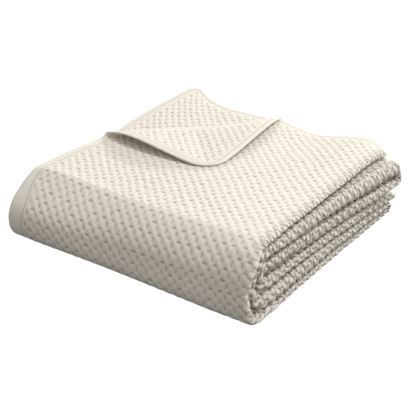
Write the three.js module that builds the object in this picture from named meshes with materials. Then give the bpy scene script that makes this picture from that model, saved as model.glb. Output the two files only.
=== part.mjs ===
// A bedspread of puffed basket-weave cloth, folded into a pack with one far corner turned back.
// The whole bedspread is one cloth, so it is one slab: it is drawn flat, folded in four across
// its width and in six along its length, rolled back at one corner, and then let settle.
// Millimetres, +Z up. X runs from the hemmed end to the folded end, Y from the front to the back.

import * as THREE from "three";

// Driving dimensions
const packWidth = 450;      // along X, a quarter of the bedspread's 1.8 m
const packDepth = 438;      // along Y, about a sixth of its 2.6 m
const plyPitch = 4.5;       // one ply and the air over it
const clothThickness = 3.0; // the puffed weave, squeezed a little by the folding
const hem = { width: 22, rise: 0.5 };

const pliesAcross = 4;
const bandCount = 6;
const bandHeight = pliesAcross * plyPitch;
const packHeight = bandCount * bandHeight;
const airGap = plyPitch - clothThickness;

// The corner of the top ply that is turned back, over a line at 45 degrees
const corner = {
  leg: 230,        // from the corner to the fold line, along each hem
  lines: 8,        // mesh lines in that leg
  rollLines: 4,    // and in the soft roll of the fold
  rollRadius: 6,   // halfway along the fold
  endRadius: 4.2,  // where the fold meets the hems
  tipCut: 9,       // how far the rounded tip stops short of a sharp one
  restGap: 1.2,    // air under the tip, where the flap lies down again
};

// Places along X, and distances from the back edge, where the mesh has lines on every ply
const legQuarters = [0.25, 0.5, 0.75, 1].map((share) => share * corner.leg);
const stopsAcross = [...legQuarters, 295, 370, 406];
const stopsAlong = [45, 95, corner.leg, 328];

// Where the section across the width runs and turns. A run goes to a place along X, and a bend
// is half a circle. The cloth starts at its hem, on top.
const hairpinReach = 1.5 * plyPitch + clothThickness / 2;
const acrossRows = [
  { part: "top ply", run: packWidth - hairpinReach },
  { part: "outer fold", bend: "right", radius: 1.5 * plyPitch, lines: 4 },
  { part: "fourth ply", run: 5 },
  { part: "fold at the hemmed end", bend: "right", radius: 0.5 * plyPitch, lines: 3 },
  { part: "third ply", run: packWidth - hairpinReach },
  { part: "inner fold", bend: "left", radius: 0.5 * plyPitch, lines: 3 },
  { part: "second ply", run: 2 },
];

// The same along the length, where each band is four plies. A run goes to a distance from the
// back edge, and the cloth starts at its other hem, on top and at the back.
const frontReach = packDepth - 2.5 * bandHeight - hairpinReach;
const alongRows = [
  { part: "top band", run: frontReach },
  { part: "front roll", bend: "right", radius: 2.5 * bandHeight, lines: 10 },
  { part: "bottom band", run: 20 },
  { part: "low fold at the back", bend: "right", radius: 0.5 * bandHeight, lines: 3 },
  { part: "fifth band", run: frontReach },
  { part: "middle fold in the roll", bend: "left", radius: 1.5 * bandHeight, lines: 7 },
  { part: "second band", run: 22 },
  { part: "high fold at the back", bend: "left", radius: 0.5 * bandHeight, lines: 3 },
  { part: "third band", run: frontReach },
  { part: "inner fold in the roll", bend: "right", radius: 0.5 * bandHeight, lines: 4 },
  { part: "fourth band", run: 6 },
];

// How high the settled pack is over the front roll, halfway back and at the back
const heightRows = [
  { at: "hemmed end", front: 98, middle: 103, back: 104 },
  { at: "halfway", front: 113, middle: 110, back: 106 },
  { at: "folded end", front: 119, middle: 121, back: 116 },
];

// Soft rises and dips of the top, each at a place and fading out over its lengths
const swellRows = [
  { what: "hump by the folded end", rise: 7.5, x: 392, y: 438, lengthX: 85, lengthY: 170 },
  { what: "dip beside the turned corner", rise: -7, x: 288, y: 438, lengthX: 80, lengthY: 170 },
  { what: "full nose at the front", rise: 10.5, x: 0, y: 30, lengthX: 170, lengthY: 180 },
  { what: "rise under the turned corner", rise: 8.5, x: 0, y: 438, lengthX: 215, lengthY: 390 },
  { what: "rise in the middle of the back", rise: 5.5, x: 200, y: 438, lengthX: 110, lengthY: 200 },
];

// How far each band's folded edge reaches past the pack's end, or stops short of it, from the
// bottom up, at the front corner, halfway and at the back corner
const reachRows = [
  { band: "bottom", front: -5, middle: -2, back: 4 },
  { band: "fifth", front: -4, middle: -2, back: 2 },
  { band: "fourth", front: -10, middle: -4, back: 10 },
  { band: "third", front: -6, middle: -3, back: 2 },
  { band: "second", front: -4, middle: 1, back: 12 },
  { band: "top", front: -8, middle: -9, back: -12 },
];
const reachLength = 80; // the last stretch of the pack that those edges pull with them

// How high the top of each band lies at the folded end, from the bottom up: the bands there
// are squeezed thin or stand open
const bandTopRows = [
  { band: "bottom", front: 13, middle: 15, back: 12 },
  { band: "fifth", front: 43, middle: 37, back: 25 },
  { band: "fourth", front: 66, middle: 55, back: 44 },
  { band: "third", front: 89, middle: 82, back: 66 },
  { band: "second", front: 106, middle: 111, back: 99 },
  { band: "top", front: 119, middle: 121, back: 116 },
];
const bandTopLength = 100; // and how far into the pack that reaches

const frontNose = { forward: 22, lengthX: 210, lengthY: 130 }; // the roll bulges at the hemmed end
const frontSlump = { lean: 0.22, lengthY: 110 };               // and leans back as it rises
const frontFoot = { forward: 27, height: 54, lengthY: 110 };   // but its foot spreads forward
const drawnCorner = { out: 46, lengthX: 135, lengthY: 330, low: 0.5 }; // plies under the turned one
const mouth = { open: 9, lengthX: 80, lengthY: 95, overBand: 3 };      // bands that gape at the back
const ripple = { rise: 1.2, lengthX: 310, lengthY: 270 };      // the soft unevenness of the top

// Follows the rows and lists stations: the place, the height and the normal on the cloth's left
function foldPath(rows, stops, startHeight) {
  const stations = [];
  const add = (place, height, normalPlace, normalHeight) => {
    stations.push({ place, height, normalPlace, normalHeight });
  };
  let heading = 1;
  let place = 0;
  let height = startHeight;
  add(place, height, 0, heading);
  for (let k = 1; k < corner.lines; k += 1) {
    place = (corner.leg * k) / corner.lines;
    add(place, height, 0, heading);
  }
  for (const row of rows) {
    if (row.bend) {
      const side = row.bend === "left" ? 1 : -1;
      const rise = side * heading * row.radius;
      for (let k = 1; k <= row.lines; k += 1) {
        const turn = (Math.PI * k) / row.lines;
        add(place + heading * row.radius * Math.sin(turn), height + rise * (1 - Math.cos(turn)),
          -side * heading * Math.sin(turn), heading * Math.cos(turn));
      }
      height += 2 * rise;
      heading = -heading;
    } else {
      const ends = [place, row.run].sort((a, b) => a - b);
      const between = stops.filter((stop) => stop > ends[0] && stop < ends[1]);
      if (heading < 0) between.reverse();
      for (place of [...between, row.run]) add(place, height, 0, heading);
    }
  }
  return stations;
}

const across = foldPath(acrossRows, stopsAcross, 1.5 * plyPitch);
const along = foldPath(alongRows, stopsAlong, packHeight - bandHeight / 2 - airGap / 2);
const topPlyEnd = across.findIndex((station) => station.height < 1.5 * plyPitch);
const topBandEnd = along.findIndex((station) => station.normalHeight < 1);

const fade = (value, length) => Math.max(0, 1 - Math.max(0, value) / length);
const soft = (value) => value * value * (3 - 2 * value);

// The roll is fullest halfway along the fold line
function rollAt(share) {
  const middle = 1 - (2 * share - 1) ** 2;
  return corner.endRadius + (corner.rollRadius - corner.endRadius) * middle;
}

// Where the mesh lines of the corner cross: they run alongside the fold line and are closest
// together in the roll
function cornerNode(i, j) {
  const line = i + j;
  const share = line === 0 ? 0.5 : i / line;
  const radius = rollAt(share);
  const arc = Math.PI * radius;
  const full = corner.leg / Math.SQRT2 - corner.tipCut;
  const roll = corner.lines - corner.rollLines;
  const past = line >= roll
    ? (arc * (corner.lines - line)) / corner.rollLines
    : arc + ((full - arc) * (roll - line)) / roll;
  return { share, radius, past, toTip: Math.max(0, (past - arc) / (full - arc)) };
}

// Turns that node back over the fold line. The offset is from the middle of the cloth.
function turnBack(node, offset) {
  const { share, radius, past, toTip } = node;
  const arc = Math.PI * radius;
  const leg = corner.leg - past * Math.SQRT2;
  let back = arc - past;
  let up;
  if (toTip === 0) {
    const turn = past / radius;
    back = (radius - offset) * Math.sin(turn);
    up = radius - (radius - offset) * Math.cos(turn);
  } else {
    const resting = clothThickness + corner.restGap;
    up = resting + (2 * radius - resting) * (1 - toTip) ** 2 - offset;
  }
  const shift = (past - back) / Math.SQRT2;
  return { fromEnd: leg * share + shift, fromBack: leg * (1 - share) + shift, up };
}

// A point of the flat cloth in the neatly folded pack
function foldedPoint(i, j, side) {
  const s = across[i];
  const t = along[j];
  const hemmed = s.place < hem.width && i < corner.lines ? hem.rise * Math.max(0, t.normalHeight) : 0;
  const offset = side * (clothThickness / 2) + (side > 0 ? hemmed : 0);
  if (i + j <= corner.lines) {
    const turned = turnBack(cornerNode(i, j), offset);
    return { x: turned.fromEnd, y: packDepth - turned.fromBack, z: t.height + s.height + turned.up };
  }
  const level = s.height + s.normalHeight * offset;
  return {
    x: s.place + s.normalPlace * offset,
    y: packDepth - t.place - t.normalPlace * level,
    z: t.height + t.normalHeight * level,
  };
}

// A smooth curve through three values at 0, 0.5 and 1
function through(a, b, c, at) {
  return a * (1 - at) * (1 - 2 * at) + 4 * b * at * (1 - at) + c * at * (2 * at - 1);
}

function settledHeight(x, y) {
  const atX = THREE.MathUtils.clamp(x / packWidth, 0, 1);
  const atY = THREE.MathUtils.clamp(y / packDepth, 0, 1);
  const [low, mid, high] = heightRows.map((row) => through(row.front, row.middle, row.back, atY));
  let height = through(low, mid, high, atX);
  for (const swell of swellRows) {
    height += swell.rise * soft(fade(Math.abs(x - swell.x), swell.lengthX))
      * soft(fade(Math.abs(y - swell.y), swell.lengthY));
  }
  const wave = Math.sin((2 * Math.PI * x) / ripple.lengthX) * Math.sin((2 * Math.PI * y) / ripple.lengthY);
  return height + ripple.rise * wave;
}

// How far the bands' edges reach at a height of the neat pack, blended from band to band
function bandReach(y, z) {
  const at = THREE.MathUtils.clamp(z / bandHeight - 0.5, 0, bandCount - 1);
  const low = Math.min(Math.floor(at), bandCount - 2);
  const atY = THREE.MathUtils.clamp(y / packDepth, 0, 1);
  const [a, b] = [reachRows[low], reachRows[low + 1]].map((r) => through(r.front, r.middle, r.back, atY));
  return a + (b - a) * soft(at - low);
}

// What share of the pack's height lies below a height of the neat pack, at the folded end
function bandTopShare(y, z) {
  const atY = THREE.MathUtils.clamp(y / packDepth, 0, 1);
  const tops = bandTopRows.map((row) => through(row.front, row.middle, row.back, atY));
  const band = THREE.MathUtils.clamp(Math.floor(z / bandHeight), 0, bandCount - 1);
  const below = band === 0 ? 0 : tops[band - 1];
  return (below + (tops[band] - below) * (z / bandHeight - band)) / tops[bandCount - 1];
}

// Lets a point of the neat pack settle. The top ply's own corner isn't drawn out.
function settle(point, drawnOut) {
  const { x, y, z } = point;
  const fromBack = packDepth - y;
  const share = Math.min(1, z / packHeight);
  const bulge = 1 - ((2 * share - 1.1) / 1.1) ** 2;
  const nose = frontNose.forward * bulge * soft(fade(x, frontNose.lengthX))
    * soft(fade(y, frontNose.lengthY));
  const slump = frontSlump.lean * (z - packHeight / 3) * soft(fade(y, frontSlump.lengthY));
  const foot = frontFoot.forward * fade(z, frontFoot.height) ** 2 * soft(fade(y, frontFoot.lengthY));
  const drawn = drawnOut * drawnCorner.out * fade(x, drawnCorner.lengthX) ** 2
    * fade(fromBack, drawnCorner.lengthY) * (drawnCorner.low + (1 - drawnCorner.low) * share);
  const reach = bandReach(y, z) * soft(fade(packWidth - x, reachLength));
  const gape = mouth.open * soft(fade(packWidth - x, mouth.lengthX)) * soft(fade(fromBack, mouth.lengthY));
  const squeezed = soft(fade(packWidth - x, bandTopLength));
  const below = z / packHeight + (bandTopShare(y, z) - z / packHeight) * squeezed;
  const lifted = z > mouth.overBand * bandHeight - airGap / 2 ? gape : 0;
  return {
    x: x + reach,
    y: y - nose + slump - foot + drawn,
    z: below * (settledHeight(x, y) - gape) + lifted,
  };
}

// A closed slab over a grid of nodes. Its cells are cut in the direction of the corner's fold
// line on every ply, also where a ply runs the other way.
function clothSlab(columns, rows, place, runsAlike) {
  const positions = [];
  const index = [];
  const node = (i, j, side) => ((side > 0 ? 1 : 0) * (columns + 1) + i) * (rows + 1) + j;
  for (const side of [-1, 1]) {
    for (let i = 0; i <= columns; i += 1) {
      for (let j = 0; j <= rows; j += 1) {
        const p = place(i, j, side);
        positions.push(p.x, p.y, p.z);
      }
    }
  }
  for (let i = 0; i < columns; i += 1) {
    for (let j = 0; j < rows; j += 1) {
      const ring = [[i, j], [i, j + 1], [i + 1, j + 1], [i + 1, j]];
      if (!runsAlike(i, j)) ring.push(ring.shift());
      const [a, b, c, d] = ring;
      index.push(node(...a, 1), node(...b, 1), node(...d, 1));
      index.push(node(...b, 1), node(...c, 1), node(...d, 1));
      index.push(node(...a, -1), node(...d, -1), node(...b, -1));
      index.push(node(...b, -1), node(...d, -1), node(...c, -1));
    }
  }
  const wall = (a, b) => {
    index.push(node(...a, 1), node(...b, 1), node(...b, -1));
    index.push(node(...a, 1), node(...b, -1), node(...a, -1));
  };
  for (let i = 0; i < columns; i += 1) {
    wall([i, 0], [i + 1, 0]);
    wall([i + 1, rows], [i, rows]);
  }
  for (let j = 0; j < rows; j += 1) {
    wall([0, j + 1], [0, j]);
    wall([columns, j], [columns, j + 1]);
  }
  const geometry = new THREE.BufferGeometry();
  geometry.setAttribute("position", new THREE.Float32BufferAttribute(positions, 3));
  geometry.setIndex(index);
  return geometry;
}

const onTop = (i, j) => i < topPlyEnd && j < topBandEnd;
const placeNode = (i, j, side) => settle(foldedPoint(i, j, side), onTop(i, j) ? 0 : 1);
const faceUp = (stations, k) => stations[k].normalHeight + stations[k + 1].normalHeight > 0;
const runsAlike = (i, j) => faceUp(across, i) === faceUp(along, j);
const geometry = clothSlab(across.length - 1, along.length - 1, placeNode, runsAlike);

// The origin is the middle of the pack's outline, on the surface that it lies on
geometry.computeBoundingBox();
const box = geometry.boundingBox;
geometry.translate(-(box.min.x + box.max.x) / 2, -(box.min.y + box.max.y) / 2, -box.min.z);
geometry.computeVertexNormals();

const linen = new THREE.MeshStandardMaterial({ color: 0xd9d0c0, roughness: 0.95, metalness: 0 });
const bedspread = new THREE.Mesh(geometry, linen);
bedspread.name = "bedspread";

const pack = new THREE.Group();
pack.add(bedspread);

export default pack;
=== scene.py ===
import math

import bmesh
import bpy
import numpy as np
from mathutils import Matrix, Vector


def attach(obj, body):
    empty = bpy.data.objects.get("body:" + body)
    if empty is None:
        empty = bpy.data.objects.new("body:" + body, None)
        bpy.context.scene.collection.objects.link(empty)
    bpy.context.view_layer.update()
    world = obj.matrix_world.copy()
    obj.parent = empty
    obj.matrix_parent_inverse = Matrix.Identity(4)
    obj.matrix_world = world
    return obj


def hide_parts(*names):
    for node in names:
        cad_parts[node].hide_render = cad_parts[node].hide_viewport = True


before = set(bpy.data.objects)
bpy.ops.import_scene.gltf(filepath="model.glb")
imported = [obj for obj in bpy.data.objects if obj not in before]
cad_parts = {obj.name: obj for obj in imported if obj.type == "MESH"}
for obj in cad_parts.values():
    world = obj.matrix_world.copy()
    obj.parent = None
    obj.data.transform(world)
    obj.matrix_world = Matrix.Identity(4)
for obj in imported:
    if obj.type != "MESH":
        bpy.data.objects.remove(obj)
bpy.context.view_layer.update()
scene = bpy.context.scene
mm = 0.001

# The camera stands where the photo's did, worked out from the weave's even lattice
shot = {"focal": 1018, "image": 410, "sensor": 36, "place": (843.5, -1212.7, 851.3),
        "azimuth": 35.58, "elevation": 29.05}


def placeCamera():
    lens = bpy.data.cameras.new("camera")
    lens.sensor_width = shot["sensor"]
    lens.lens = shot["focal"] * shot["sensor"] / shot["image"]
    camera = bpy.data.objects.new("camera", lens)
    scene.collection.objects.link(camera)
    turn, tilt = math.radians(shot["azimuth"]), math.radians(shot["elevation"])
    ahead = Vector((-math.sin(turn) * math.cos(tilt), math.cos(turn) * math.cos(tilt), -math.sin(tilt)))
    camera.location = Vector(shot["place"]) * mm
    camera.rotation_mode = "QUATERNION"
    camera.rotation_quaternion = ahead.to_track_quat("-Z", "Y")
    scene.camera = camera


placeCamera()
print("camera placed")

# The folded pack, in millimetres as on the CAD model: x from the hemmed end to the folded end,
# y from the front to the back. On the flat cloth s runs across and t along, from its hems.
pack = {"width": 450, "depth": 438, "plyPitch": 4.5, "cloth": 3.0, "plies": 4, "bands": 6,
        "middleX": 230.55, "middleY": 231.33}
bandHeight = pack["plies"] * pack["plyPitch"]
packHeight = pack["bands"] * bandHeight
airGap = pack["plyPitch"] - pack["cloth"]
halfBand = 1.5 * pack["plyPitch"]  # from the middle of a band to the middle of its outer plies
hairpinReach = halfBand + pack["cloth"] / 2
endRun = pack["width"] - hairpinReach
frontRun = pack["depth"] - 2.5 * bandHeight - hairpinReach

# Each stretch runs to a place or is a half-circle bend of a radius
acrossFold = [
    ("topPly", "run", endRun), ("outerFold", "right", halfBand),
    ("fourthPly", "run", 5), ("hemEndFold", "right", 0.5 * pack["plyPitch"]),
    ("thirdPly", "run", endRun), ("innerFold", "left", 0.5 * pack["plyPitch"]),
    ("secondPly", "run", 2)]
alongFold = [
    ("topBand", "run", frontRun), ("frontRoll", "right", 2.5 * bandHeight),
    ("bottomBand", "run", 20), ("lowBackFold", "right", 0.5 * bandHeight),
    ("fifthBand", "run", frontRun), ("middleRoll", "left", 1.5 * bandHeight),
    ("secondBand", "run", 22), ("highBackFold", "left", 0.5 * bandHeight),
    ("thirdBand", "run", frontRun), ("innerRoll", "right", 0.5 * bandHeight),
    ("fourthBand", "run", 6)]


# Where each stretch starts and ends on the flat cloth
def stretchesOf(rows):
    found, place, travelled = {}, 0, 0
    for name, kind, size in rows:
        length = abs(size - place) if kind == "run" else math.pi * size
        found[name] = (travelled, travelled + length)
        travelled += length
        place = size if kind == "run" else place
    return found


across = stretchesOf(acrossFold)
along = stretchesOf(alongFold)
clothWidth = across["secondPly"][1]
clothLength = along["fourthBand"][1]


# The folded section: place, height and normal at distances along the cloth. Its first and last
# stretches run on, for corners that reach out
def followFold(rows, startHeight, distance):
    path = np.zeros(distance.shape + (4,))
    place, height, heading = 0.0, startHeight, 1
    for (name, kind, size), (start, end) in zip(rows, stretchesOf(rows).values()):
        after = (distance >= start) | (name == rows[0][0])
        here = after & ((distance <= end) | (name == rows[-1][0]))
        ahead = distance[here] - start
        if kind == "run":
            steady = np.ones(ahead.shape)
            path[here] = np.stack([place + heading * ahead, height * steady, 0 * steady,
                                   heading * steady], -1)
            place = size
        else:
            side = 1 if kind == "left" else -1
            turn = ahead / size
            path[here] = np.stack([place + heading * size * np.sin(turn),
                                   height + side * heading * size * (1 - np.cos(turn)),
                                   -side * heading * np.sin(turn), heading * np.cos(turn)], -1)
            height += 2 * side * heading * size
            heading = -heading
    return path


# Falls from one to nought over a length
def fade(value, length):
    return np.clip(1 - np.maximum(0, value) / length, 0, 1)


# Eases a share in and out
def soft(value):
    return value * value * (3 - 2 * value)


# A smooth curve through three values, at the front, halfway and at the back
def through(row, at):
    a, b, c = row
    return a * (1 - at) * (1 - 2 * at) + 4 * b * at * (1 - at) + c * at * (2 * at - 1)


# A scattered value for each square of a grid, from -1 to 1, the same each run
def scatter(i, j, seed):
    value = np.sin(i * 127.1 + j * 311.7 + seed * 74.7) * 43758.5453
    return 2 * (value - np.floor(value)) - 1


# Smooth lumps of a size over the flat cloth, between those values
def lumps(s, t, size, seed):
    i, j = np.floor(s / size), np.floor(t / size)
    u, v = soft(s / size - i), soft(t / size - j)
    near = scatter(i, j, seed) * (1 - u) + scatter(i + 1, j, seed) * u
    far = scatter(i, j + 1, seed) * (1 - u) + scatter(i + 1, j + 1, seed) * u
    return near * (1 - v) + far * v


# The top ply's far corner is turned back over a line from the hemmed end to the back, which bows
turned = {"legS": 230, "legT": 235, "bow": 13, "rollLeft": 5.4, "rollRight": 2.4, "restGap": 1.4,
          "easeLeft": 156, "easeRight": 150, "liftLeft": 23, "liftRight": 15,
          "crestAt": 13, "crestFlat": 7}
# Both corners are sewn round and drawn out at the back
topCorner = {"round": 44, "drawn": -3, "drawnLength": 250, "fadeInside": 160}
underCorner = {"round": 53, "drawn": 34, "drawnLength": 71, "fadeInside": 160}
# Near the folded end the plies of a band are pressed against the one that is outermost in its roll
pressed = {"share": 0.3, "outerShare": 0.58, "uneven": 0.12, "length": 55, "lumpSize": 46,
           "turnOver": 60, "backShare": 0.1, "backLength": 80, "inset": 8, "insetY": 75, "square": 3}


# Presses a square corner's points into a round one, at distances from its two edges
def roundOff(s, t, radius):
    dx, dy = np.clip(1 - s / radius, 0, 1), np.clip(1 - t / radius, 0, 1)
    near = (dx > 0) & (dy > 0)
    return (np.where(near, radius - radius * dx * np.sqrt(1 - dy * dy / 2), s),
            np.where(near, radius - radius * dy * np.sqrt(1 - dx * dx / 2), t))


# Shapes the two far corners of the pack's top on the flat cloth
def shapeCorners(s, t):
    c = topCorner
    s, t = roundOff(s, t, c["round"])
    grownS = c["drawn"] * fade(t, c["drawnLength"]) ** 2 * fade(s, c["fadeInside"])
    grownT = c["drawn"] * fade(s, c["drawnLength"]) ** 2 * fade(t, c["fadeInside"])
    s, t = s - grownS, t - grownT
    c = underCorner
    ends, t = roundOff(clothWidth - s, t, c["round"])
    t = t - c["drawn"] * fade(ends, c["drawnLength"]) ** 2 * fade(t, c["fadeInside"])
    return clothWidth - ends, t


# Rolls the top ply over its crest and lays the corner back on the ply that it came from
def turnBack(s, t, x, y, z):
    g = turned
    crest = math.hypot(g["legS"], g["legT"])
    outS, outT = g["legT"] / crest, g["legS"] / crest
    share = np.clip((s * outT - (t - g["legT"]) * outS) / crest, 0, 1)
    past = g["legS"] * outS - s * outS - t * outT + g["bow"] * 4 * share * (1 - share)
    leftness = (1 - share) ** 2
    radius = g["rollRight"] + (g["rollLeft"] - g["rollRight"]) * leftness
    arc = math.pi * radius
    rolling = past < arc
    turn = np.clip(past / radius, 0, math.pi)
    back = np.where(rolling, radius * np.sin(turn), arc - past)
    easing = np.clip((past - arc) / (g["easeRight"] + (g["easeLeft"] - g["easeRight"]) * leftness), 0, 1)
    resting = pack["cloth"] + g["restGap"]
    lift = g["liftLeft"] * np.clip(1 - 2 * share, 0, 1) + g["liftRight"] * np.clip(2 * share - 1, 0, 1)
    lain = resting + (2 * radius - resting) * (1 - easing) ** 2 * (1 + 2 * easing)
    lain = lain + lift * 4 * easing * (1 - easing)
    up = np.where(rolling, radius * (1 - np.cos(turn)), lain)
    isTurned = (s < across["topPly"][1]) & (t < along["topBand"][1]) & (past > 0)
    return (np.where(isTurned, s + (past - back) * outS, x),
            np.where(isTurned, pack["depth"] - t - (past - back) * outT, y),
            np.where(isTurned, z + up, z))


# Folds the flat cloth to the neat pack and presses its plies together near the folded end
def foldCloth(s, t):
    a = followFold(acrossFold, halfBand, s)
    b = followFold(alongFold, packHeight - bandHeight / 2 - airGap / 2, t)
    atEnd = soft(fade(pack["width"] - a[..., 0], pressed["length"]))
    uneven = pressed["uneven"] * lumps(t, 0 * t, pressed["lumpSize"], 3)
    over = pressed["turnOver"]
    turns = [along["bottomBand"][1] - over, along["fifthBand"][0] + over,
             along["secondBand"][1] - over, along["thirdBand"][0] + over]
    outermost = halfBand * np.interp(t, turns, (1, -1, -1, 1))
    shares = (pressed["backShare"], pressed["outerShare"], pressed["outerShare"], pressed["share"])
    share = np.interp(t, (0, pressed["backLength"], *turns[:2]), shares) + uneven
    offset = outermost + (a[..., 1] - outermost) * (1 - share * atEnd)
    inBand = a[..., 1] / halfBand
    outside = (t < along["bottomBand"][1]) & (inBand > 0)
    x = a[..., 0] + np.where(outside, 0, pressed["square"] * atEnd * abs(inBand) ** 3)
    y = pack["depth"] - b[..., 0] - b[..., 2] * offset
    z = b[..., 1] + b[..., 3] * offset
    x = x - pressed["inset"] * atEnd * soft(fade(y, pressed["insetY"])) * (t > along["lowBackFold"][0])
    onTop = (s < across["topPly"][1]) & (t < along["topBand"][1])
    x, y, z = turnBack(s, t, x, y, z)
    return x, y, z, onTop


# How the neat pack settles. Heights, reaches and band tops are given at the front, halfway and at
# the back. A swell has its rise, its place in x and y, and how far it reaches each way. The crease
# runs along the front from its left end, and the mouth gapes under the third band at the far right
settling = {
    "heights": [(98, 103, 104), (113, 110, 106), (119, 121, 116)],
    "swells": [(7.5, 392, 438, 85, 170), (-7, 288, 438, 80, 170), (10.5, 0, 30, 170, 180),
               (8.5, 0, 438, 215, 390), (5.5, 200, 438, 110, 200), (-6.5, 90, 8, 290, 44)],
    "reaches": [(-1, -2, 3), (-4, -2, 4), (-10, -4, 9), (-6, -3, 19), (-4, 1, 17), (-8, -9, -11)],
    "bandTops": [(0, 0, 0), (13, 15, 12), (43, 37, 27), (66, 55, 46), (89, 82, 63), (109, 113, 107),
                 (119, 121, 116)],
    "reachLength": 80, "bandTopLength": 100,
    "noseOut": 22, "noseX": 210, "noseY": 130, "noseMiddle": 0.55, "lean": 0.22, "leanY": 110,
    "footOut": 27, "footHeight": 54, "footY": 110, "footEase": 0.4, "footX": 90,
    "drawnOut": 46, "drawnX": 135, "drawnY": 330, "drawnLow": 0.5,
    "mouthOpen": 13, "mouthX": 80, "mouthY": 95, "mouthBand": 3,
    "tucked": 7.5, "tuckedX": 110, "tuckedY": 205, "tuckedLength": 75,
    "creaseRise": 2.4, "creaseY": 52, "creaseWidth": 17, "creaseX": 60, "creaseLength": 170,
    "creaseCalm": 0.9, "creaseCalmX": 45,
    "rippleRise": 1.2, "rippleX": 310, "rippleY": 270}

# The top band's far corner at the folded end is round and hangs a little
farCorner = {"round": 42, "droop": 5, "droopX": 60, "droopY": 60}


# Height of the settled top over a place
def settledHeight(x, y):
    g = settling
    atX, atY = np.clip(x / pack["width"], 0, 1), np.clip(y / pack["depth"], 0, 1)
    low, mid, high = [through(row, atY) for row in g["heights"]]
    height = through((low, mid, high), atX)
    for rise, placeX, placeY, lengthX, lengthY in g["swells"]:
        nearX, nearY = fade(abs(x - placeX), lengthX), fade(abs(y - placeY), lengthY)
        height = height + rise * soft(nearX) * soft(nearY)
    crease = fade(abs(y - g["creaseY"]), g["creaseWidth"])
    crease = crease * soft(fade(x - g["creaseX"], g["creaseLength"]))
    crease = crease * (1 - g["creaseCalm"] * soft(fade(x, g["creaseCalmX"])))
    wave = np.sin(2 * np.pi * x / g["rippleX"]) * np.sin(2 * np.pi * y / g["rippleY"])
    return height + g["creaseRise"] * crease + g["rippleRise"] * wave


# Reads a table that has a row for each band, between its rows and along y
def betweenBands(table, atY, at):
    rows = np.stack([through(row, atY) for row in table], -1)
    low = np.clip(np.floor(at), 0, len(table) - 2).astype(int)
    below = np.take_along_axis(rows, low[..., None], -1)[..., 0]
    above = np.take_along_axis(rows, low[..., None] + 1, -1)[..., 0]
    return below, above, at - low


# Moves places in the neat pack to where they settle
def settleCloth(x, y, z, onTop):
    g = settling
    fromBack, fromEnd = pack["depth"] - y, pack["width"] - x
    even = z / packHeight
    share = np.minimum(1, even)
    atY = np.clip(y / pack["depth"], 0, 1)
    bulge = 1 - (share / g["noseMiddle"] - 1) ** 2
    nose = g["noseOut"] * bulge * soft(fade(x, g["noseX"])) * soft(fade(y, g["noseY"]))
    slump = g["lean"] * (z - packHeight / 3) * soft(fade(y, g["leanY"]))
    foot = g["footOut"] * fade(z, g["footHeight"]) ** 2 * soft(fade(y, g["footY"]))
    foot = foot * (1 - g["footEase"] * soft(fade(fromEnd, g["footX"])))
    low = g["drawnLow"] + (1 - g["drawnLow"]) * share
    drawn = g["drawnOut"] * fade(x, g["drawnX"]) ** 2 * fade(fromBack, g["drawnY"]) * low
    inBands = np.clip(z / bandHeight - 0.5, 0, pack["bands"] - 1)
    below, above, part = betweenBands(g["reaches"], atY, inBands)
    reach = (below + (above - below) * soft(part)) * soft(fade(fromEnd, g["reachLength"]))
    below, above, part = betweenBands(g["bandTops"], atY, np.clip(z / bandHeight, 0, pack["bands"]))
    atFoldedEnd = (below + (above - below) * part) / through(g["bandTops"][-1], atY)
    squeezed = np.where(even > 1, 0, soft(fade(fromEnd, g["bandTopLength"])))
    gape = g["mouthOpen"] * soft(fade(fromEnd, g["mouthX"])) * soft(fade(fromBack, g["mouthY"]))
    lifted = np.where(z > g["mouthBand"] * bandHeight - airGap / 2, gape, 0)
    up = (even + (atFoldedEnd - even) * squeezed) * (settledHeight(x, y) - gape) + lifted
    c = farCorner
    isTop = z > (pack["bands"] - 1) * bandHeight - airGap / 2
    roundEnd, roundBack = roundOff(fromEnd, fromBack, c["round"])
    droop = c["droop"] * soft(fade(fromEnd, c["droopX"])) * soft(fade(fromBack, c["droopY"])) * isTop
    tucked = g["tucked"] * soft(fade(abs(y - g["tuckedY"]), g["tuckedLength"])) * isTop
    tucked = tucked * soft(fade(x, g["tuckedX"]))
    x = x + reach - (roundEnd - fromEnd) * isTop + tucked
    y = y - (roundBack - fromBack) * isTop
    return x, y - nose + slump - foot + np.where(onTop, 0, drawn), up - droop


# From the flat cloth to its places in the settled pack
def placeCloth(s, t):
    return np.stack(settleCloth(*foldCloth(s, t)), -1)


# The puffed basket weave: short dashes along and across take turns, with puffs between. Weights are
# shares of the full thickness
weave = {"pitchS": 17.75, "pitchT": 17.2, "phaseS": 0.45, "phaseT": 0.657, "thickness": 4.6,
         "thinnest": 0.46, "puff": 0.3, "body": 0.2, "meanWeight": 0.72, "leastWeight": 0.02,
         "weightSteps": 50, "dashDepth": 0.4, "dashFlat": 1, "dashHalf": 3.6, "dashWidth": 2.56,
         "dashUneven": 0.35, "unevenSize": 9, "frontCalm": 0.6, "frontBefore": 50, "frontEase": 60,
         "wander": 1.1, "wanderSize": 26, "wanderFrom": 6, "wanderEase": 20}
# Hem: a line of stitches and then a plain strip, at distances from the cloth's edge
hem = {"stitch": 9, "plain": 15, "topStitch": 16, "topPlain": 21, "noseStitch": 27, "nosePlain": 30,
       "topBefore": 30, "topEase": 40, "noseFrom": 400, "noseEase": 60, "weight": 0.74, "step": 4,
       "edgeWeight": 0.5, "edge": 2.5, "ripple": 0.16, "rippleSize": 8, "rippleStretch": 5}


# Distance to the nearest place where the wave is whole, in millimetres
def toNearest(place, pitch, phase):
    turns = place / pitch - phase
    return (turns - np.round(turns)) * pitch


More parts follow.
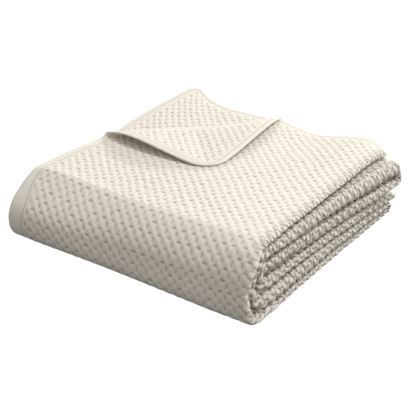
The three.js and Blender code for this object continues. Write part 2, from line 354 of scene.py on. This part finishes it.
# Distances past the hem's line of stitches and past its plain strip, which widen along the left edge
def pastHem(s, t, name):
    onTop = soft(1 - fade(t - turned["legT"] + hem["topBefore"], hem["topEase"]))
    atNose = soft(1 - fade(t - hem["noseFrom"], hem["noseEase"]))
    atLeft = hem[name] + (hem["top" + name.title()] - hem[name]) * onTop
    atLeft = atLeft + (hem["nose" + name.title()] - hem["top" + name.title()]) * atNose
    others = np.minimum(np.minimum(clothWidth - s, clothLength - t), t) - hem[name]
    return np.minimum(s - atLeft, others)


# Distance from the cloth's nearest edge
def hemDistance(s, t):
    return np.minimum(np.minimum(s, clothWidth - s), np.minimum(t, clothLength - t))


# Where the dashes are, from 0 to 1, at places on the cloth
def dashesAt(s, t):
    w = weave
    dashes = 0
    for half in (0, 0.5):
        ds = abs(toNearest(s, w["pitchS"], w["phaseS"] + half))
        dt = abs(toNearest(t, w["pitchT"], w["phaseT"] + half))
        lengthwise, sideways = (ds, dt) if half == 0 else (dt, ds)
        fullness = soft(fade(lengthwise - w["dashFlat"], w["dashHalf"]))
        dashes = dashes + fullness * soft(fade(sideways, w["dashWidth"]))
    return dashes


# How full the puffs are, from 0 to 1
def puffsAt(s, t):
    waveS = np.cos(2 * np.pi * (s / weave["pitchS"] - weave["phaseS"]))
    waveT = np.cos(2 * np.pi * (t / weave["pitchT"] - weave["phaseT"]))
    return (1 - waveS * waveT) / 2


# Thickness of the cloth, as a share of the fullest, at its places s, t and at hem distances
def clothWeight(s, t, fromEdge, pastPlain):
    w = weave
    onFront = soft(1 - fade(t - along["topBand"][1] + w["frontBefore"], w["frontEase"]))
    depth = w["dashDepth"] * (1 + w["dashUneven"] * lumps(s, t, w["unevenSize"], 5))
    depth = depth * (1 - w["frontCalm"] * onFront)
    woven = w["thinnest"] + w["puff"] * puffsAt(s, t) + w["body"] - depth * dashesAt(s, t)
    inHem = soft(fade(pastPlain, hem["step"]))
    flat = hem["weight"] - (hem["weight"] - hem["edgeWeight"]) * fade(fromEdge, hem["edge"]) ** 2
    ripples = np.where(s < clothWidth / 2, lumps(s / hem["rippleStretch"], t, hem["rippleSize"], 21),
                       lumps(s, t / hem["rippleStretch"], hem["rippleSize"], 22))
    flat = flat + hem["ripple"] * ripples
    return woven + (flat - woven) * inHem


# Puckers where the cloth is folded over at the folded end, out of the cloth's face: slanting
# ridges before the fold and diamonds on it, between grooves that join the dashes
puckered = {"ridges": 0.8, "diamonds": 1.7, "pits": 0.8, "sharpness": 0.7, "ridgeMean": 0.6,
            "diamondMean": 0.45, "bendS": 1.8, "bendSizeS": 19, "bendT": 2.4, "bendSizeT": 15,
            "uneven": 0.4, "unevenSize": 11, "swell": 0.8, "swellSize": 38,
            "start": 24, "frontStart": 9, "after": 20, "foldBefore": 6, "foldEase": 10, "halfFace": 13,
            "rollEase": 40, "bottomEase": 60, "outsideEase": 6,
            "calmAtEdges": 0.35, "calmOutside": 0.65, "calmFront": 0.75}


# One all round the pack's outside, and nought from the lowest back fold on
def beforeBackFold(t):
    return soft(fade(t - along["bottomBand"][1] + puckered["bottomEase"], puckered["bottomEase"]))


# How near the outer fold is, from 0 to 1
def nearFold(s, t):
    g, fold = puckered, across["outerFold"]
    pastTop = soft(1 - fade(t - along["topBand"][1], g["rollEase"]))
    before = g["start"] + (g["frontStart"] - g["start"]) * pastTop
    near = soft(fade((fold[0] - s) * g["start"] / before, g["start"]))
    near = near * soft(fade(s - fold[1], g["after"]))
    onFront = pastTop * beforeBackFold(t)
    outside = soft(fade(s - sum(fold) / 2 + g["outsideEase"], g["outsideEase"]))
    return near * (1 - g["calmFront"] * onFront * outside)


# Moves points out of the cloth's face by its puckers
def puckers(s, t, points):
    g = puckered
    turnsS = (s + g["bendS"] * lumps(s, t, g["bendSizeS"], 11)) / weave["pitchS"] - weave["phaseS"]
    turnsT = (t + g["bendT"] * lumps(s, t, g["bendSizeT"], 12)) / weave["pitchT"] - weave["phaseT"]
    slanting = abs(np.sin(np.pi * (turnsS - turnsT)))
    crossing = abs(np.sin(np.pi * (turnsS + turnsT)))
    onFold = soft(1 - fade(s - across["outerFold"][0] + g["foldBefore"], g["foldEase"]))
    diamonds = np.minimum(slanting, crossing) ** g["sharpness"] - g["diamondMean"]
    ridges = slanting ** g["sharpness"] - g["ridgeMean"]
    fromMiddle = abs(s - sum(across["outerFold"]) / 2) / g["halfFace"]
    calm = 1 - g["calmAtEdges"] * soft(np.clip(fromMiddle, 0, 1)) * onFold
    out = (g["ridges"] * ridges * (1 - onFold) + g["diamonds"] * diamonds * onFold) * calm
    out = out * (1 + g["uneven"] * lumps(s, t, g["unevenSize"], 13)) - g["pits"] * dashesAt(s, t)
    out = (out + g["swell"] * lumps(s, t, g["swellSize"], 14)) * nearFold(s, t)
    out = out * (1 - g["calmOutside"] * beforeBackFold(t))
    outward = np.cross(np.gradient(points, axis=1), np.gradient(points, axis=0))
    outward /= np.maximum(np.linalg.norm(outward, axis=-1, keepdims=True), 1e-9)
    return outward * out[..., None]


# A sheet of the cloth over a stretch of the fold, from lines at the given flat places
def makeSheet(name, sLines, tLines, trueLengths):
    bm = bmesh.new()
    bmesh.ops.create_grid(bm, x_segments=len(sLines) - 1, y_segments=len(tLines) - 1, size=0.5)
    mesh = bpy.data.meshes.new(name)
    bm.to_mesh(mesh)
    bm.free()
    count = len(mesh.vertices)
    flat = np.empty(count * 3)
    mesh.vertices.foreach_get("co", flat)
    flat = flat.reshape(-1, 3) + 0.5
    column = np.rint(flat[:, 0] * (len(sLines) - 1)).astype(int)
    row = np.rint(flat[:, 1] * (len(tLines) - 1)).astype(int)
    s, t = np.meshgrid(sLines, tLines, indexing="ij")
    onTop = (s < across["topPly"][1]) & (t < along["topBand"][1])
    plain = pastHem(s, t, "plain")
    plain = np.where(onTop, np.minimum(plain, pastCrest(s, t)), plain)
    marks = {"fromStitch": pastHem(s, t, "stitch"), "fromPlain": plain}
    fromEdge = hemDistance(s, t)
    s, t = shapeCorners(s, t)
    inside = soft(1 - fade(fromEdge - weave["wanderFrom"], weave["wanderEase"]))
    foldS = s + weave["wander"] * lumps(s, t, weave["wanderSize"], 1) * inside
    foldT = t + weave["wander"] * lumps(s, t, weave["wanderSize"], 2) * inside
    if trueLengths:
        foldS, foldT = evenOut(foldS, foldT)
    points = placeCloth(foldS, foldT)
    points = points + puckers(s, t, points)
    weights = clothWeight(s, t, fromEdge, plain)
    coarse = np.clip((np.gradient(sLines) - fine["coarseFrom"]) / fine["coarseEase"], 0, 1)[:, None]
    weights = weights + (weave["meanWeight"] - weights) * coarse * (fromEdge > hem["plain"])
    points = (points - np.array([pack["middleX"], pack["middleY"], 0])) * mm
    mesh.vertices.foreach_set("co", points[column, row].ravel())
    corners = np.empty(len(mesh.loops), dtype=int)
    mesh.loops.foreach_get("vertex_index", corners)
    uv = mesh.uv_layers.new(name="cloth")
    places = np.stack([s[column, row], t[column, row]], -1) * mm
    uv.data.foreach_set("uv", places[corners].astype(np.float32).ravel())
    marks["nearFold"] = nearFold(s, t) / mm
    for label, values in marks.items():
        layer = mesh.attributes.new(label, "FLOAT", "POINT")
        layer.data.foreach_set("value", (values[column, row] * mm).astype(np.float32))
    mesh.polygons.foreach_set("use_smooth", np.ones(len(mesh.polygons), dtype=bool))
    mesh.update()
    piece = bpy.data.objects.new(name, mesh)
    scene.collection.objects.link(piece)
    thick = piece.vertex_groups.new(name="thickness")
    grades = weave["weightSteps"]
    steps = np.rint(np.clip(weights[column, row], weave["leastWeight"], 1) * grades) / grades
    for step in np.unique(steps):
        thick.add(np.flatnonzero(steps == step).tolist(), float(step), "REPLACE")
    shell = piece.modifiers.new("cloth", "SOLIDIFY")
    shell.thickness = weave["thickness"] * mm
    shell.offset = 0
    shell.vertex_group = "thickness"
    return piece


# Distance from the turned-back corner's crest, past the strip where the bend pulls the weave flat
def pastCrest(s, t):
    g = turned
    crest = math.hypot(g["legS"], g["legT"])
    share = np.clip(s / g["legS"], 0, 1)
    past = (g["legS"] * g["legT"] - s * g["legT"] - t * g["legS"]) / crest
    past = past + g["bow"] * 4 * share * (1 - share)
    return abs(past - g["crestAt"]) - g["crestFlat"]


# Where the cloth's length is evened out: past the turned-back corner and near the folded end, and
# how it eases off under the pack
evened = {"pastCorner": 14, "fromS": 340, "bottomBefore": 20, "bottomEase": 55, "endEase": 36}


# Moves the fold's lines so that the cloth keeps its true length over the front and the end
def evenOut(s, t):
    points = placeCloth(s, t)
    alongSteps = np.linalg.norm(np.diff(points, axis=1), axis=-1)
    acrossSteps = np.linalg.norm(np.diff(points, axis=0), axis=-1)
    foldS, foldT = s.copy(), t.copy()
    ease = soft(fade(t - along["bottomBand"][0] + evened["bottomBefore"], evened["bottomEase"]))
    extra = np.where(t[:, 1:] > turned["legT"] + evened["pastCorner"], alongSteps - np.diff(t, axis=1), 0)
    drift = np.concatenate([np.zeros((len(s), 1)), np.cumsum(extra, 1)], 1) * ease
    for i in range(s.shape[0]):
        foldT[i] = np.interp(t[i], t[i] + drift[i], t[i])
    easeEnd = soft(fade(s - across["fourthPly"][0], evened["endEase"])) * ease
    extra = np.where(s[1:] > evened["fromS"], acrossSteps - np.diff(s, axis=0), 0)
    drift = np.concatenate([np.zeros((1, s.shape[1])), np.cumsum(extra, 0)], 0) * easeEnd
    for j in range(s.shape[1]):
        foldS[:, j] = np.interp(s[:, j], s[:, j] + drift[:, j], s[:, j])
    return foldS, foldT


# How fine the mesh is: lines to each repeat of the weave, steps in millimetres where it's hidden or
# bends, and how far the fine stretches run past the folds and the turned-back corner
fine = {"perRepeat": 6, "atFold": 12, "foldStart": 32, "foldStop": 10, "hiddenStep": 36, "bendStep": 2.4,
        "rollStep": 6, "underStep": 14, "leastGap": 0.3, "fromEnds": 0.2, "coarseFrom": 4, "coarseEase": 6,
        "pastFold": 42, "pastCorner": 22, "endBefore": 62, "endAfter": 24}
outerEnd = across["fourthPly"][0] + fine["pastFold"]
rollEnd = along["bottomBand"][0] + fine["pastFold"]


# Mesh lines on the weave's lattice, a number to each repeat, from one flat place to another
def latticeLines(start, end, pitch, phase, perRepeat):
    step = pitch / perRepeat
    first = math.ceil((start / pitch - phase) * perRepeat + fine["fromEnds"])
    last = math.floor((end / pitch - phase) * perRepeat - fine["fromEnds"])
    return [start] + [phase * pitch + k * step for k in range(first, last + 1)] + [end]


def evenLines(start, end, step):
    count = max(1, round((end - start) / step))
    return list(np.linspace(start, end, count + 1))


# Joins lists of lines and leaves out those that would lie on the one before
def joinLines(*parts):
    lines = []
    for part in parts:
        lines += [value for value in part if not lines or value > lines[-1] + fine["leastGap"]]
    return np.array(lines)


# Lines across the cloth, closer together over the folded end
def fineS(start, end):
    closer = (across["outerFold"][0] - fine["foldStart"], across["outerFold"][1] + fine["foldStop"])
    stretches = [(start, min(end, closer[0]), "perRepeat"),
                 (max(start, closer[0]), min(end, closer[1]), "atFold"),
                 (max(start, closer[1]), end, "perRepeat")]
    lines = [latticeLines(low, high, weave["pitchS"], weave["phaseS"], fine[count])
             for low, high, count in stretches if low < high]
    return list(joinLines(*lines))


def fineT(start, end):
    return latticeLines(start, end, weave["pitchT"], weave["phaseT"], fine["perRepeat"])


# Lines over the band's hidden plies, closer together round their bends
def hiddenAcross(start):
    return joinLines(
        evenLines(start, across["hemEndFold"][0], fine["hiddenStep"]),
        evenLines(*across["hemEndFold"], fine["bendStep"]),
        evenLines(*across["thirdPly"], fine["hiddenStep"]),
        evenLines(*across["innerFold"], fine["bendStep"]))


# Starts a shader node group with its sockets
def newGroup(name, inputs, outputs):
    group = bpy.data.node_groups.new(name, "ShaderNodeTree")
    for label, kind, value in inputs:
        socket = group.interface.new_socket(label, in_out="INPUT", socket_type=kind)
        if value is not None:
            socket.default_value = value
    for label, kind in outputs:
        group.interface.new_socket(label, in_out="OUTPUT", socket_type=kind)
    return group, group.nodes.new("NodeGroupInput"), group.nodes.new("NodeGroupOutput")


# Adds a math node and links or sets its inputs
def calc(tree, operation, a, b=None, c=None, clamp=False):
    node = tree.nodes.new("ShaderNodeMath")
    node.operation = operation
    node.use_clamp = clamp
    for k, value in enumerate((a, b, c)):
        if value is None:
            continue
        if isinstance(value, (int, float)):
            node.inputs[k].default_value = value
        else:
            tree.links.new(value, node.inputs[k])
    return node.outputs[0]


# A mask that is one well within a limit and nought past it
def within(tree, limit, value, edge):
    return calc(tree, "MULTIPLY", calc(tree, "SUBTRACT", limit, value), edge, clamp=True)


# How far a count of repeats is from the nearest whole one, or from the nearest half
def fromWhole(tree, turns, half):
    return calc(tree, "ABSOLUTE", calc(tree, "WRAP", calc(tree, "SUBTRACT", turns, half), 0.5, -0.5))


# Shade of the dashes: the ends and sides are in repeats of the weave, and the edges say how sharp
# they are. Patches make some dashes fainter
dashShade = {"wobbleScale": 55, "wobble": 0.18, "patch": 2.4, "patchStart": -0.4,
             "end": 0.29, "endEdge": 6, "side": 0.15, "sideEdge": 8, "lengthwise": 0.7,
             "stitchHalf": 1.1, "stitchEdge": 1400, "hemEdge": 400}


# The dashes and puffs, read from the cloth's flat place in metres
def makeWeaveGroup():
    d = dashShade
    group, given, made = newGroup(
        "basketPuffs", [("Cloth", "NodeSocketVector", None), ("FromStitch", "NodeSocketFloat", None),
                        ("FromPlain", "NodeSocketFloat", None)],
        [("Dash", "NodeSocketFloat"), ("Puff", "NodeSocketFloat"), ("Stitch", "NodeSocketFloat")])
    split = group.nodes.new("ShaderNodeSeparateXYZ")
    group.links.new(given.outputs["Cloth"], split.inputs[0])
    s, t = split.outputs["X"], split.outputs["Y"]
    turnsS = calc(group, "SUBTRACT", calc(group, "DIVIDE", s, weave["pitchS"] * mm), weave["phaseS"])
    turnsT = calc(group, "SUBTRACT", calc(group, "DIVIDE", t, weave["pitchT"] * mm), weave["phaseT"])
    uneven = group.nodes.new("ShaderNodeTexNoise")
    uneven.inputs["Scale"].default_value = d["wobbleScale"]
    group.links.new(given.outputs["Cloth"], uneven.inputs["Vector"])
    parts = group.nodes.new("ShaderNodeSeparateColor")
    group.links.new(uneven.outputs["Color"], parts.inputs[0])
    wobbles = [calc(group, "SUBTRACT", parts.outputs[label], 0.5) for label in ("Red", "Green")]
    turnsS = calc(group, "MULTIPLY_ADD", wobbles[0], d["wobble"], turnsS)
    turnsT = calc(group, "MULTIPLY_ADD", wobbles[1], d["wobble"], turnsT)
    strength = calc(group, "MULTIPLY_ADD", parts.outputs["Blue"], d["patch"], d["patchStart"], clamp=True)
    waveS = calc(group, "COSINE", calc(group, "MULTIPLY", turnsS, 2 * math.pi))
    waveT = calc(group, "COSINE", calc(group, "MULTIPLY", turnsT, 2 * math.pi))
    puff = calc(group, "MULTIPLY_ADD", calc(group, "MULTIPLY", waveS, waveT), -0.5, 0.5)
    masks = []
    for half, share in ((0, 1), (0.5, d["lengthwise"])):
        nearS, nearT = fromWhole(group, turnsS, half), fromWhole(group, turnsT, half)
        longWay, shortWay = (nearS, nearT) if half == 0 else (nearT, nearS)
        bar = within(group, d["end"], longWay, d["endEdge"])
        thin = within(group, d["side"], shortWay, d["sideEdge"])
        masks.append(calc(group, "MULTIPLY", calc(group, "MULTIPLY", bar, thin), share))
    dash = calc(group, "MULTIPLY", calc(group, "MAXIMUM", *masks), strength)
    woven = calc(group, "MULTIPLY", given.outputs["FromPlain"], d["hemEdge"], clamp=True)
    line = calc(group, "ABSOLUTE", given.outputs["FromStitch"])
    stitch = within(group, d["stitchHalf"] * mm, line, d["stitchEdge"])
    # The dash mask darkens the colour as painted shade in the weave's pits, and dents the bump
    group.links.new(calc(group, "MULTIPLY", dash, woven), made.inputs["Dash"])
    group.links.new(calc(group, "MULTIPLY", puff, woven), made.inputs["Puff"])
    # The stitch mask darkens the colour as painted shade in the stitch line's groove, and dents the bump
    group.links.new(stitch, made.inputs["Stitch"])
    return group


# Shade of the puckers. The noises' scales and seeds are for the bends across and along, the patches
# and the roughness
puckerShade = {"noises": ((75, 0.0), (60, 3.1), (110, 7.7), (260, 5.3)), "bend": 0.55, "bow": 0.9,
               "strokes": 0.55, "net": 0.45, "rough": 0.9, "groove": 0.39, "grooveEdge": 5,
               "patch": 2.2, "patchStart": 0.8}


# Grooves that join the dashes where the cloth puckers near the folded end, and the ridges between
def makePuckerGroup():
    g = puckerShade
    group, given, made = newGroup(
        "foldPuckers", [("Cloth", "NodeSocketVector", None), ("NearFold", "NodeSocketFloat", None)],
        [("Groove", "NodeSocketFloat"), ("Ridge", "NodeSocketFloat")])
    noises = []
    for scale, seed in g["noises"]:
        noise = group.nodes.new("ShaderNodeTexNoise")
        noise.noise_dimensions = "4D"
        noise.inputs["Scale"].default_value = scale
        noise.inputs["W"].default_value = seed
        group.links.new(given.outputs["Cloth"], noise.inputs["Vector"])
        noises.append(calc(group, "SUBTRACT", noise.outputs["Fac"], 0.5))
    bendS, bendT, patches, rough = noises
    split = group.nodes.new("ShaderNodeSeparateXYZ")
    group.links.new(given.outputs["Cloth"], split.inputs[0])
    turns = []
    for axis, way, bend in (("X", "S", bendS), ("Y", "T", bendT)):
        even = calc(group, "DIVIDE", split.outputs[axis], weave["pitch" + way] * mm)
        even = calc(group, "SUBTRACT", even, weave["phase" + way])
        turns.append(calc(group, "MULTIPLY_ADD", bend, g["bend"], even))
    nets = []
    for operation in ("SUBTRACT", "ADD"):
        angle = calc(group, "MULTIPLY", calc(group, operation, *turns), math.pi)
        nets.append(calc(group, "ABSOLUTE", calc(group, "SINE", angle)))
    net = calc(group, "MINIMUM", *nets)
    bowed = calc(group, "SINE", calc(group, "MULTIPLY", turns[0], 2 * math.pi))
    angle = calc(group, "MULTIPLY_ADD", turns[1], 4 * math.pi, calc(group, "MULTIPLY", bowed, g["bow"]))
    stroke = calc(group, "MULTIPLY_ADD", calc(group, "COSINE", angle), 0.5, 0.5)
    ridge = calc(group, "MULTIPLY_ADD", stroke, g["strokes"], calc(group, "MULTIPLY", net, g["net"]))
    ridge = calc(group, "MULTIPLY_ADD", rough, g["rough"], ridge)
    groove = within(group, g["groove"], ridge, g["grooveEdge"])
    patchy = calc(group, "MULTIPLY_ADD", patches, g["patch"], g["patchStart"], clamp=True)
    groove = calc(group, "MULTIPLY", groove, patchy)
    # The groove mask darkens the colour as painted shade in the puckers' grooves; the ridges are a bump
    group.links.new(calc(group, "MULTIPLY", groove, given.outputs["NearFold"]), made.inputs["Groove"])
    group.links.new(calc(group, "MULTIPLY", ridge, given.outputs["NearFold"]), made.inputs["Ridge"])
    return group


# Spacing in metres
yarn = {"spacing": 0.0012, "slubScale": 900, "slubDetail": 3}


# Fine yarns crossing over and under, as a height
def makeYarnGroup():
    group, given, made = newGroup(
        "yarns", [("Cloth", "NodeSocketVector", None), ("Spacing", "NodeSocketFloat", yarn["spacing"])],
        [("Height", "NodeSocketFloat"), ("Slub", "NodeSocketFloat")])
    split = group.nodes.new("ShaderNodeSeparateXYZ")
    group.links.new(given.outputs["Cloth"], split.inputs[0])
    ridges = []
    for axis in ("X", "Y"):
        turns = calc(group, "DIVIDE", split.outputs[axis], given.outputs["Spacing"])
        ridges.append(calc(group, "COSINE", calc(group, "MULTIPLY", turns, 2 * math.pi)))
    height = calc(group, "MULTIPLY_ADD", calc(group, "MULTIPLY", *ridges), 0.5, 0.5)
    noise = group.nodes.new("ShaderNodeTexNoise")
    noise.inputs["Scale"].default_value = yarn["slubScale"]
    noise.inputs["Detail"].default_value = yarn["slubDetail"]
    group.links.new(given.outputs["Cloth"], noise.inputs["Vector"])
    group.links.new(height, made.inputs["Height"])
    group.links.new(noise.outputs["Fac"], made.inputs["Slub"])
    return group


# The linen's colour and the dark crease colour for painted shade, its gloss, how much painted shade
# darkens its dashes, stitch line and pucker grooves, the slubs' uneven tone, and the strength and height
# of its bumps
linen = {"cloth": (0.70, 0.652, 0.585), "crease": (0.20, 0.175, 0.14), "roughness": 0.95, "sheen": 0.1,
         "sheenRoughness": 0.5, "specular": 0.15, "dashPaintedShade": 0.6, "stitchPaintedShade": 0.38, "groovePaintedShade": 0.9,
         "slubDark": -0.3, "slubStart": 0.17, "weaveBump": 0.8, "weaveRise": 0.8, "puckerBump": 1,
         "puckerRise": 3, "yarnBump": 0.35, "yarnRise": 0.3}


# Adds a bump of a height over the one before
def addBump(tree, name, height, before=None):
    bump = tree.nodes.new("ShaderNodeBump")
    bump.inputs["Strength"].default_value = linen[name + "Bump"]
    bump.inputs["Distance"].default_value = linen[name + "Rise"] * mm
    tree.links.new(height, bump.inputs["Height"])
    if before is not None:
        tree.links.new(before, bump.inputs["Normal"])
    return bump.outputs["Normal"]


# The cloth's material
def makeLinen():
    material = bpy.data.materials.new("wovenLinen")
    material.use_nodes = True
    tree = material.node_tree
    shader = tree.nodes["Principled BSDF"]
    shader.inputs["Roughness"].default_value = linen["roughness"]
    shader.inputs["Sheen Weight"].default_value = linen["sheen"]
    shader.inputs["Sheen Roughness"].default_value = linen["sheenRoughness"]
    shader.inputs["Specular IOR Level"].default_value = linen["specular"]
    place = tree.nodes.new("ShaderNodeUVMap")
    place.uv_map = "cloth"
    puffs, yarns, creases = [tree.nodes.new("ShaderNodeGroup") for _ in range(3)]
    for node, makeGroup in ((puffs, makeWeaveGroup), (yarns, makeYarnGroup), (creases, makePuckerGroup)):
        node.node_tree = makeGroup()
        tree.links.new(place.outputs["UV"], node.inputs["Cloth"])
    for label, node in (("fromStitch", puffs), ("fromPlain", puffs), ("nearFold", creases)):
        known = tree.nodes.new("ShaderNodeAttribute")
        known.attribute_name = label
        tree.links.new(known.outputs["Fac"], node.inputs[label[0].upper() + label[1:]])
    # Painted shade: the dashes, the stitch line and the pucker grooves are mixed toward the dark crease
    # colour; the slubs add uneven tone
    shades = [calc(tree, "MULTIPLY", node.outputs[label], linen[name]) for node, label, name in (
        (puffs, "Dash", "dashPaintedShade"), (puffs, "Stitch", "stitchPaintedShade"), (creases, "Groove", "groovePaintedShade"))]
    paintedShadeAndSlubs = calc(tree, "MAXIMUM", calc(tree, "MAXIMUM", *shades[:2]), shades[2])
    slubs = calc(tree, "MULTIPLY_ADD", yarns.outputs["Slub"], linen["slubDark"], linen["slubStart"])
    paintedShadeAndSlubs = calc(tree, "ADD", paintedShadeAndSlubs, slubs, clamp=True)
    mix = tree.nodes.new("ShaderNodeMix")
    mix.data_type = "RGBA"
    mix.inputs["A"].default_value = (*linen["cloth"], 1)
    mix.inputs["B"].default_value = (*linen["crease"], 1)
    tree.links.new(paintedShadeAndSlubs, mix.inputs["Factor"])
    tree.links.new(mix.outputs["Result"], shader.inputs["Base Color"])
    relief = calc(tree, "MULTIPLY_ADD", puffs.outputs["Dash"], -1, puffs.outputs["Puff"])
    relief = calc(tree, "SUBTRACT", relief, puffs.outputs["Stitch"])
    normal = addBump(tree, "weave", relief)
    normal = addBump(tree, "pucker", creases.outputs["Ridge"], normal)
    normal = addBump(tree, "yarn", yarns.outputs["Height"], normal)
    tree.links.new(normal, shader.inputs["Normal"])
    return material


linenMaterial = makeLinen()
print("material made")

# The pieces: stretches of the one cloth, on their lines across and along
foldedEndStart = endRun - fine["endBefore"]
foldedEndStop = across["fourthPly"][0] + fine["endAfter"]
hemLines = [0, 3, 8, hem["plain"] - 3, hem["plain"] + 4]  # round the hem's edge and its step
endHem = [clothWidth - value for value in reversed(hemLines)]
bandAcross = joinLines(
    hemLines, evenLines(hemLines[-1], foldedEndStart, fine["hiddenStep"]),
    fineS(foldedEndStart, foldedEndStop), hiddenAcross(foldedEndStop),
    evenLines(across["secondPly"][0], endHem[0], fine["hiddenStep"]), endHem)
backFoldLow = sum(along["lowBackFold"]) / 2
backFoldHigh = sum(along["highBackFold"]) / 2
cornerStretch = max(turned["legS"], turned["legT"]) + fine["pastCorner"]

pieces = {
    "outerPly": {"s": joinLines(fineS(0, outerEnd)), "t": joinLines(fineT(0, rollEnd)), "true": True},
    "topBandPlies": {
        "s": joinLines(hiddenAcross(outerEnd),
                       evenLines(across["secondPly"][0], clothWidth - cornerStretch, fine["hiddenStep"]),
                       fineS(clothWidth - cornerStretch, clothWidth)),
        "t": joinLines(fineT(0, cornerStretch),
                       evenLines(cornerStretch, along["topBand"][1], fine["hiddenStep"]),
                       evenLines(*along["frontRoll"], fine["rollStep"]),
                       evenLines(along["bottomBand"][0], rollEnd, fine["underStep"])),
        "true": False},
    "bottomBand": {"s": bandAcross, "t": joinLines(fineT(rollEnd, backFoldLow)), "true": False},
    "secondRoll": {"s": bandAcross, "t": joinLines(fineT(backFoldLow, backFoldHigh)), "true": False},
    "innerRoll": {"s": bandAcross, "t": joinLines(fineT(backFoldHigh, clothLength)), "true": False},
}

for name, piece in pieces.items():
    sheet = makeSheet(name, piece["s"], piece["t"], piece["true"])
    sheet.data.materials.append(linenMaterial)
    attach(sheet, "root")
    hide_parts("bedspread")

# Floor and light. The floor looks white to the camera and throws little light back
studio = {"floorSize": 6, "floorColor": (0.18, 0.18, 0.18), "floorGlow": 1, "world": 0.68,
          "skyColor": (1, 0.985, 0.94), "aimHeight": 0.06}
# Soft boxes: compass angle, height angle, distance and size in metres, and power
softBoxes = {"key": (203, 17, 5, 0.7, 142), "side": (116, 60, 2.4, 0.4, 26), "low": (92, 30, 2.4, 0.6, 14)}


def makeFloor():
    bm = bmesh.new()
    bmesh.ops.create_grid(bm, x_segments=2, y_segments=2, size=studio["floorSize"] / 2)
    mesh = bpy.data.meshes.new("floor")
    bm.to_mesh(mesh)
    bm.free()
    floor = bpy.data.objects.new("floor", mesh)
    scene.collection.objects.link(floor)
    material = bpy.data.materials.new("paleFloor")
    material.use_nodes = True
    shader = material.node_tree.nodes["Principled BSDF"]
    shader.inputs["Base Color"].default_value = (*studio["floorColor"], 1)
    shader.inputs["Roughness"].default_value = 1
    shader.inputs["Specular IOR Level"].default_value = 0
    seen = material.node_tree.nodes.new("ShaderNodeLightPath")
    glow = calc(material.node_tree, "MULTIPLY", seen.outputs["Is Camera Ray"], studio["floorGlow"])
    shader.inputs["Emission Color"].default_value = (1, 1, 1, 1)
    material.node_tree.links.new(glow, shader.inputs["Emission Strength"])
    mesh.materials.append(material)


# An area lamp that looks at the pack from a compass angle and a height angle
def makeSoftBox(name, azimuth, elevation, away, size, power):
    lamp = bpy.data.lights.new(name, "AREA")
    lamp.size = size
    lamp.energy = power
    turn, tilt = math.radians(azimuth), math.radians(elevation)
    out = Vector((math.sin(turn) * math.cos(tilt), -math.cos(turn) * math.cos(tilt), math.sin(tilt)))
    light = bpy.data.objects.new(name, lamp)
    scene.collection.objects.link(light)
    light.location = out * away + Vector((0, 0, studio["aimHeight"]))
    light.rotation_mode = "QUATERNION"
    light.rotation_quaternion = (-out).to_track_quat("-Z", "Y")


makeFloor()
for name, box in softBoxes.items():
    makeSoftBox(name, *box)
world = bpy.data.worlds.new("studio")
scene.world = world
world.use_nodes = True
world.node_tree.nodes["Background"].inputs["Color"].default_value = (*studio["skyColor"], 1)
world.node_tree.nodes["Background"].inputs["Strength"].default_value = studio["world"]
scene.view_settings.view_transform = "Standard"
print("floor and light made")
